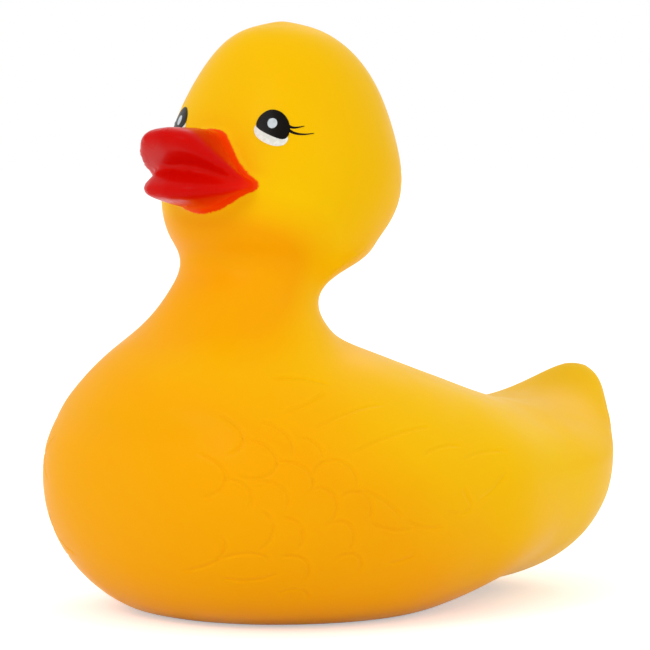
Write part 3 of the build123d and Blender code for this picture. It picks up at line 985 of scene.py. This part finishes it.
# ---------------------------------------------------------------- the works in the belly
def softened(paint, radius, normal_strength, scale):
    """Moulded edges a little round, over a fine texture."""
    round_edges = paint.add("Bevel", {"Radius": radius}, samples=6).outputs["Normal"]
    paint.into("Normal", paint.bump(paint.noise(scale, 3.0), normal_strength, 0.0002, round_edges))


def moulded(name, shade, worn, rough=0.42, edge=0.0004):
    paint = Paint(name)
    paint.shader.inputs["Subsurface Weight"].default_value = 0.05
    paint.shader.inputs["Subsurface Scale"].default_value = 0.002
    marks = paint.ranged(paint.noise(55.0, 5.0), 0.42, 0.62)
    paint.into("Base Color", paint.mixed(marks, shade, worn))
    paint.into("Roughness", paint.ranged(paint.noise(90.0, 4.0), 0.3, 0.7, rough, rough + 0.16))
    softened(paint, edge, 0.25, 1300.0)
    return paint.material


def rubber():
    paint = Paint("seal_rubber")
    dust = paint.ranged(paint.noise(140.0, 5.0), 0.5, 0.68)
    paint.into("Base Color", paint.mixed(dust, colour(34, 34, 35), colour(66, 65, 62)))
    paint.into("Roughness", paint.ranged(paint.noise(300.0), 0.3, 0.7, 0.6, 0.8))
    softened(paint, 0.0003, 0.4, 1800.0)
    return paint.material


def steel():
    paint = Paint("stainless", Metallic=1.0)
    paint.into("Base Color", paint.mixed(paint.noise(420.0), colour(188, 188, 186), colour(206, 206, 203)))
    paint.into("Roughness", paint.ranged(paint.noise(700.0, 4.0), 0.3, 0.7, 0.22, 0.4))
    softened(paint, 0.0002, 0.2, 2600.0)
    return paint.material


def iron():
    paint = Paint("ballast", Metallic=0.1)
    paint.into("Base Color", paint.mixed(paint.noise(160.0, 6.0), colour(92, 94, 97), colour(64, 66, 70)))
    paint.into("Roughness", paint.ranged(paint.noise(200.0), 0.3, 0.7, 0.5, 0.7))
    softened(paint, 0.0005, 0.6, 900.0)
    return paint.material


def pressed_tablet():
    paint = Paint("tablet")
    grains = paint.add("TexVoronoi", {"Vector": paint.place(), "Scale": 1100.0}).outputs["Distance"]
    spread = paint.ranged(grains, 0.1, 0.7)
    paint.into("Base Color", paint.mixed(spread, colour(238, 241, 242), colour(214, 220, 224)))
    paint.into("Roughness", paint.ranged(paint.noise(800.0), 0.3, 0.7, 0.75, 0.92))
    soft = paint.add("Bevel", {"Radius": 0.0008}, samples=6).outputs["Normal"]
    paint.into("Normal", paint.bump(grains, 0.5, 0.0004, soft))
    return paint.material


white_plastic = moulded("white_polypropylene", colour(232, 234, 235), colour(222, 224, 222))
cap_plastic = moulded("cap_polypropylene", colour(236, 238, 239), colour(226, 228, 226))
blue_plastic = moulded("shutter_polypropylene", colour(44, 118, 190), colour(38, 108, 178))
finishes = {
    "tablet_well": white_plastic,
    "tether_eye": white_plastic,
    "clamp_ring": white_plastic,
    "flange_gasket": rubber(),
    "cap_seal": rubber(),
    "flange_screws": steel(),
    "ballast_screws": steel(),
    "shutter_pivot": steel(),
    "ballast_ring": iron(),
    "screw_cap": cap_plastic,
    "pivot_washer": moulded("nylon", colour(224, 222, 210), colour(214, 211, 198)),
    "tablet_1": pressed_tablet(),
    "tablet_2": pressed_tablet(),
    "flow_shutter": blue_plastic,
}
for name, material in finishes.items():
    data = nodes[name].data
    data.materials.clear()
    data.materials.append(material)


# ---------------------------------------------------------------- the dial under the cap
DIGIT_TALL = 4.6 * mm
RAISED = 0.3 * mm
DIAL_FIRST, DIAL_STEP = 101.25, 7.5
DIGIT_RADIUS, TICK_RADIUS, POINTER_RADIUS = 31 * mm, 35 * mm, 39.2 * mm
TICK_LONG, TICK_WIDE = 2 * mm, 0.5 * mm
POINTER_LONG, POINTER_WIDE = 3.4 * mm, 3.0 * mm
SHUTTER_FACE = 8.0 * mm
CAP_FACE = 10.3 * mm


def facing_down(angle, radius, height):
    """Puts a thing drawn face up about the origin face down, with its top towards the cap's edge."""
    turn = math.radians(angle)
    place = well_axis + Vector((radius * math.cos(turn), radius * math.sin(turn), height))
    face_down = Matrix.Rotation(math.pi, 4, "X")
    return Matrix.Translation(place) @ Matrix.Rotation(turn + math.pi / 2, 4, "Z") @ face_down


def raised_digit(text):
    curve = bpy.data.curves.new("digit", "FONT")
    curve.body = text
    curve.size = DIGIT_TALL
    curve.extrude = RAISED
    curve.align_x = "CENTER"
    curve.align_y = "CENTER"
    return evaluated(new_object("digit", curve), "digit")


def raised_bar(long, wide):
    bm = bmesh.new()
    bmesh.ops.create_cube(bm, size=1)
    bmesh.ops.scale(bm, vec=(wide, long, 2 * RAISED), verts=bm.verts)
    return mesh_from(bm, "tick")


def raised_pointer(long, wide):
    bm = bmesh.new()
    bmesh.ops.create_cone(bm, cap_ends=True, segments=3, radius1=1, radius2=1, depth=1)
    bmesh.ops.scale(bm, vec=(wide / 1.732, long / 1.5, 2 * RAISED), verts=bm.verts)
    bmesh.ops.rotate(bm, matrix=Matrix.Rotation(math.pi, 3, "Z"), verts=bm.verts)
    return mesh_from(bm, "pointer")


marks = bmesh.new()
for number, text in enumerate("3210"):
    angle = DIAL_FIRST + DIAL_STEP * number
    tick = raised_bar(TICK_LONG, TICK_WIDE)
    for mesh, radius in ((raised_digit(text), DIGIT_RADIUS), (tick, TICK_RADIUS)):
        mesh.transform(facing_down(angle, radius, SHUTTER_FACE))
        marks.from_mesh(mesh)
        bpy.data.meshes.remove(mesh)
dial = new_object("dial_marks", mesh_from(marks, "dial_marks"))
dial.data.materials.append(blue_plastic)
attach(dial, "shutter")
pointer_mesh = raised_pointer(POINTER_LONG, POINTER_WIDE)
pointer_mesh.transform(facing_down(DIAL_FIRST, POINTER_RADIUS, CAP_FACE))
pointer = new_object("dial_pointer", pointer_mesh)
pointer.data.materials.append(cap_plastic)
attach(pointer, "cap")


# ---------------------------------------------------------------- camera, floor and light
CAMERA_AWAY = 2.0
AIM_ASIDE, AIM_UP = 0.00817, 0.0602
LOOK_AT = Vector((0, 0, 0.12))
FLOOR_GLOW = 0.45
FLOOR_DROP = 0.0002
camera_data = bpy.data.cameras.new("camera")
camera_data.sensor_width = 36
camera_data.lens = 257.6
camera_data.clip_end = 20
camera = bpy.data.objects.new("camera", camera_data)
bpy.context.scene.collection.objects.link(camera)
azimuth, elevation = math.radians(48), math.radians(8)
level = math.cos(elevation)
away = Vector((math.sin(azimuth) * level, -math.cos(azimuth) * level, math.sin(elevation)))
sideways = Vector((math.cos(azimuth), math.sin(azimuth), 0))
upwards = away.cross(sideways)
aim = -away + sideways * AIM_ASIDE + upwards * AIM_UP
camera.location = well_axis + away * CAMERA_AWAY
camera.rotation_euler = aim.to_track_quat("-Z", "Y").to_euler()
bpy.context.scene.camera = camera


def seen_white(tree):
    """1 for the rays that should find a white background, 0 for the rays that carry light."""
    path = tree.nodes.new("ShaderNodeLightPath")
    total = path.outputs["Is Camera Ray"]
    for name in ("Is Glossy Ray", "Is Transmission Ray"):
        more = tree.nodes.new("ShaderNodeMath")
        more.operation = "MAXIMUM"
        tree.links.new(total, more.inputs[0])
        tree.links.new(path.outputs[name], more.inputs[1])
        total = more.outputs[0]
    return total


def lit_world(light, seen):
    world = bpy.data.worlds.new("studio")
    bpy.context.scene.world = world
    world.use_nodes = True
    tree = world.node_tree
    tree.nodes.clear()
    out = tree.nodes.new("ShaderNodeOutputWorld")
    back = tree.nodes.new("ShaderNodeBackground")
    back.inputs["Color"].default_value = (1, 1, 1, 1)
    strength = tree.nodes.new("ShaderNodeMapRange")
    strength.inputs["To Min"].default_value = light
    strength.inputs["To Max"].default_value = seen
    tree.links.new(seen_white(tree), strength.inputs["Value"])
    tree.links.new(strength.outputs["Result"], back.inputs["Strength"])
    tree.links.new(back.outputs["Background"], out.inputs["Surface"])


def studio_floor():
    bm = bmesh.new()
    bmesh.ops.create_circle(bm, cap_ends=True, segments=96, radius=4.0)
    floor = new_object("floor", mesh_from(bm, "floor"))
    material = bpy.data.materials.new("floor")
    material.use_nodes = True
    tree = material.node_tree
    tree.nodes.clear()
    out = tree.nodes.new("ShaderNodeOutputMaterial")
    matt = tree.nodes.new("ShaderNodeBsdfDiffuse")
    matt.inputs["Color"].default_value = (0.92, 0.92, 0.92, 1)
    glow = tree.nodes.new("ShaderNodeEmission")
    both = tree.nodes.new("ShaderNodeAddShader")
    lift = tree.nodes.new("ShaderNodeMath")
    lift.operation = "MULTIPLY"
    lift.inputs[1].default_value = FLOOR_GLOW
    tree.links.new(seen_white(tree), lift.inputs[0])
    tree.links.new(lift.outputs[0], glow.inputs["Strength"])
    tree.links.new(matt.outputs[0], both.inputs[0])
    tree.links.new(glow.outputs[0], both.inputs[1])
    tree.links.new(both.outputs[0], out.inputs["Surface"])
    floor.data.materials.append(material)
    floor.location.z = -FLOOR_DROP


def soft_box(name, place, size, power):
    light = bpy.data.lights.new(name, "AREA")
    light.shape = "DISK"
    light.size = size
    light.energy = power
    lamp = bpy.data.objects.new(name, light)
    bpy.context.scene.collection.objects.link(lamp)
    lamp.location = place
    lamp.rotation_euler = (LOOK_AT - Vector(place)).to_track_quat("-Z", "Y").to_euler()


lit_world(0.88, 1.0)
studio_floor()
soft_box("key", (0.2, -1.5, 1.3), 0.7, 4.5)
soft_box("fill", (1.6, 0.2, 0.9), 0.9, 1.5)
soft_box("back", (-0.9, 1.2, 1.2), 0.7, 1.5)

bpy.context.scene.view_settings.view_transform = "Standard"
